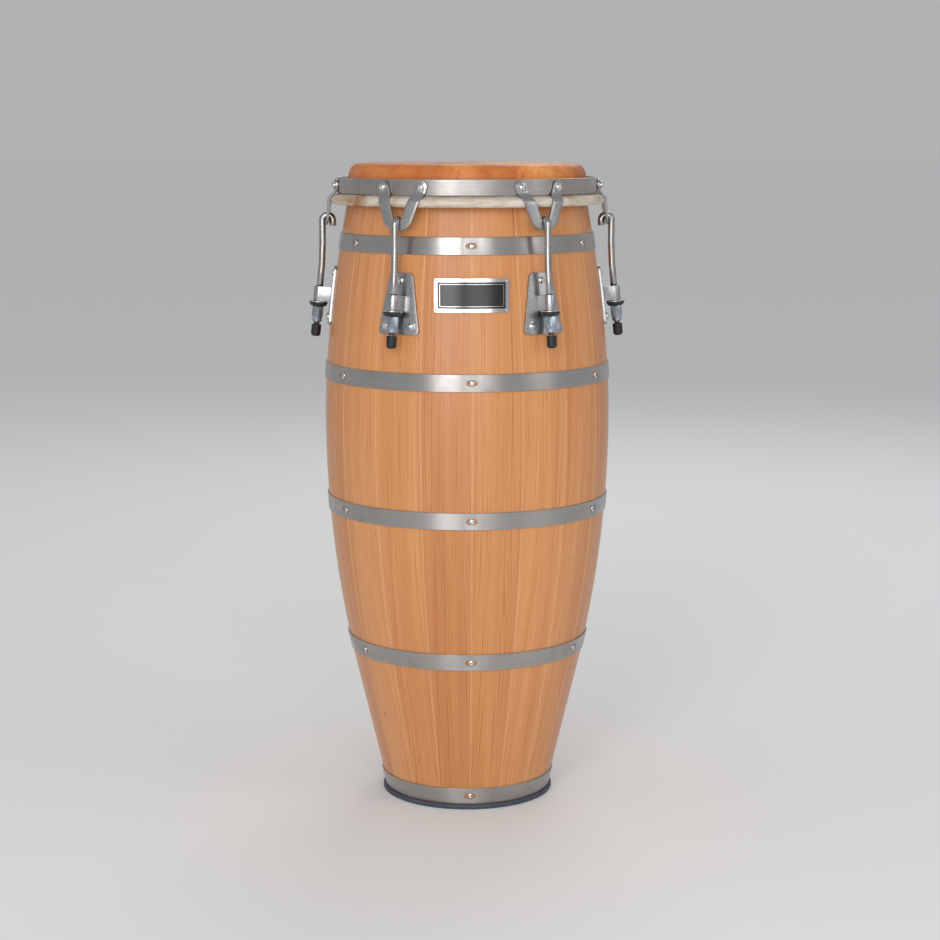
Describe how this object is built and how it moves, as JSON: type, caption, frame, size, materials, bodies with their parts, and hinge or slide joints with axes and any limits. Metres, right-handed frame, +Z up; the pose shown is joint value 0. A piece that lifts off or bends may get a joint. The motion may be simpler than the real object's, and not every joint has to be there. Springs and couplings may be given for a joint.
{
  "type": "conga drum",
  "caption": "Tall stave-built hand drum, bowed and tapering to a rubber-ringed foot, with steel bands and a rawhide head held by a crown hoop and side tuning hooks.",
  "frame": {"origin": "centre of the foot on the floor, on the drum's upright axis", "axes": "+Z up along the drum's axis to the head, -Y towards the name plate"},
  "size_m": [0.3774, 0.3412, 0.762],
  "materials": {
    "stave_wood": "satin lacquered straight-grained softwood",
    "band_steel": "bright polished stainless with a fine lengthwise brush",
    "hoop_steel": "satin stainless",
    "fitting_steel": "tumbled stainless",
    "hook_steel": "polished stainless rod",
    "nut_zinc": "blue-white zinc plate",
    "washer_black": "black moulded washer",
    "foot_rubber": "dark blue-grey rubber",
    "head_rawhide": "amber mottled rawhide, worn smooth",
    "collar_rawhide": "dry pale rawhide with brown stains",
    "plate_steel": "polished border round a black panel"
  },
  "bodies": {
    "shell": {"stave_01": "stave_wood", "stave_02": "stave_wood", "stave_03": "stave_wood", "stave_04": "stave_wood", "stave_05": "stave_wood", "stave_06": "stave_wood", "stave_07": "stave_wood", "stave_08": "stave_wood", "stave_09": "stave_wood", "stave_10": "stave_wood", "stave_11": "stave_wood", "stave_12": "stave_wood", "stave_13": "stave_wood", "stave_14": "stave_wood", "stave_15": "stave_wood", "stave_16": "stave_wood", "stave_17": "stave_wood", "stave_18": "stave_wood", "band_rim": "band_steel", "band_upper": "band_steel", "band_belly": "band_steel", "band_lower": "band_steel", "band_foot": "band_steel", "head_skin": "head_rawhide", "foot_ring": "foot_rubber", "name_plate": "plate_steel", "lug_1": "fitting_steel", "lug_2": "fitting_steel", "lug_3": "fitting_steel", "lug_4": "fitting_steel", "lug_5": "fitting_steel", "lug_6": "fitting_steel", "lug_washer_1": "washer_black", "lug_washer_2": "washer_black", "lug_washer_3": "washer_black", "lug_washer_4": "washer_black", "lug_washer_5": "washer_black", "lug_washer_6": "washer_black"},
    "crown": {"crown_hoop": "hoop_steel", "flesh_ring": "fitting_steel", "skin_collar": "collar_rawhide", "bracket_1": "fitting_steel", "bracket_2": "fitting_steel", "bracket_3": "fitting_steel", "bracket_4": "fitting_steel", "bracket_5": "fitting_steel", "bracket_6": "fitting_steel"},
    "hook_1": {"tuning_hook_1": "hook_steel"},
    "hook_2": {"tuning_hook_2": "hook_steel"},
    "hook_3": {"tuning_hook_3": "hook_steel"},
    "hook_4": {"tuning_hook_4": "hook_steel"},
    "hook_5": {"tuning_hook_5": "hook_steel"},
    "hook_6": {"tuning_hook_6": "hook_steel"},
    "nut_1": {"tuning_nut_1": "nut_zinc"},
    "nut_2": {"tuning_nut_2": "nut_zinc"},
    "nut_3": {"tuning_nut_3": "nut_zinc"},
    "nut_4": {"tuning_nut_4": "nut_zinc"},
    "nut_5": {"tuning_nut_5": "nut_zinc"},
    "nut_6": {"tuning_nut_6": "nut_zinc"}
  },
  "joints": [
    {"name": "crown_slide", "type": "slide", "parent": "shell", "child": "crown", "axis": [0, 0, 1], "range_m": [-0.005, 0.002]},
    {"name": "hook_1_slide", "type": "slide", "parent": "shell", "child": "hook_1", "axis": [-0.0493, 0.0853, 0.9951], "range_m": [-0.0051, 0.0021]},
    {"name": "hook_2_slide", "type": "slide", "parent": "shell", "child": "hook_2", "axis": [-0.0985, 0, 0.9951], "range_m": [-0.0051, 0.0021]},
    {"name": "hook_3_slide", "type": "slide", "parent": "shell", "child": "hook_3", "axis": [-0.0493, -0.0853, 0.9951], "range_m": [-0.0051, 0.0021]},
    {"name": "hook_4_slide", "type": "slide", "parent": "shell", "child": "hook_4", "axis": [0.0493, -0.0853, 0.9951], "range_m": [-0.0051, 0.0021]},
    {"name": "hook_5_slide", "type": "slide", "parent": "shell", "child": "hook_5", "axis": [0.0985, 0, 0.9951], "range_m": [-0.0051, 0.0021]},
    {"name": "hook_6_slide", "type": "slide", "parent": "shell", "child": "hook_6", "axis": [0.0493, 0.0853, 0.9951], "range_m": [-0.0051, 0.0021]},
    {"name": "nut_1_turn", "type": "hinge", "parent": "shell", "child": "nut_1", "pos_m": [0.08832, -0.15297, 0.6084], "axis": [-0.0493, 0.0853, 0.9951], "range_deg": [-590, 1460]},
    {"name": "nut_2_turn", "type": "hinge", "parent": "shell", "child": "nut_2", "pos_m": [0.17664, 0, 0.6084], "axis": [-0.0985, 0, 0.9951], "range_deg": [-590, 1460]},
    {"name": "nut_3_turn", "type": "hinge", "parent": "shell", "child": "nut_3", "pos_m": [0.08832, 0.15297, 0.6084], "axis": [-0.0493, -0.0853, 0.9951], "range_deg": [-590, 1460]},
    {"name": "nut_4_turn", "type": "hinge", "parent": "shell", "child": "nut_4", "pos_m": [-0.08832, 0.15297, 0.6084], "axis": [0.0493, -0.0853, 0.9951], "range_deg": [-590, 1460]},
    {"name": "nut_5_turn", "type": "hinge", "parent": "shell", "child": "nut_5", "pos_m": [-0.17664, 0, 0.6084], "axis": [0.0985, 0, 0.9951], "range_deg": [-590, 1460]},
    {"name": "nut_6_turn", "type": "hinge", "parent": "shell", "child": "nut_6", "pos_m": [-0.08832, -0.15297, 0.6084], "axis": [0.0493, 0.0853, 0.9951], "range_deg": [-590, 1460]}
  ],
  "couplings": [
    {"joint": "hook_1_slide", "follows": "crown_slide", "ratio": 1.0049},
    {"joint": "hook_2_slide", "follows": "crown_slide", "ratio": 1.0049},
    {"joint": "hook_3_slide", "follows": "crown_slide", "ratio": 1.0049},
    {"joint": "hook_4_slide", "follows": "crown_slide", "ratio": 1.0049},
    {"joint": "hook_5_slide", "follows": "crown_slide", "ratio": 1.0049},
    {"joint": "hook_6_slide", "follows": "crown_slide", "ratio": 1.0049},
    {"joint": "nut_1_turn", "follows": "crown_slide", "rad_per_m": -5051.1},
    {"joint": "nut_2_turn", "follows": "crown_slide", "rad_per_m": -5051.1},
    {"joint": "nut_3_turn", "follows": "crown_slide", "rad_per_m": -5051.1},
    {"joint": "nut_4_turn", "follows": "crown_slide", "rad_per_m": -5051.1},
    {"joint": "nut_5_turn", "follows": "crown_slide", "rad_per_m": -5051.1},
    {"joint": "nut_6_turn", "follows": "crown_slide", "rad_per_m": -5051.1}
  ]
}
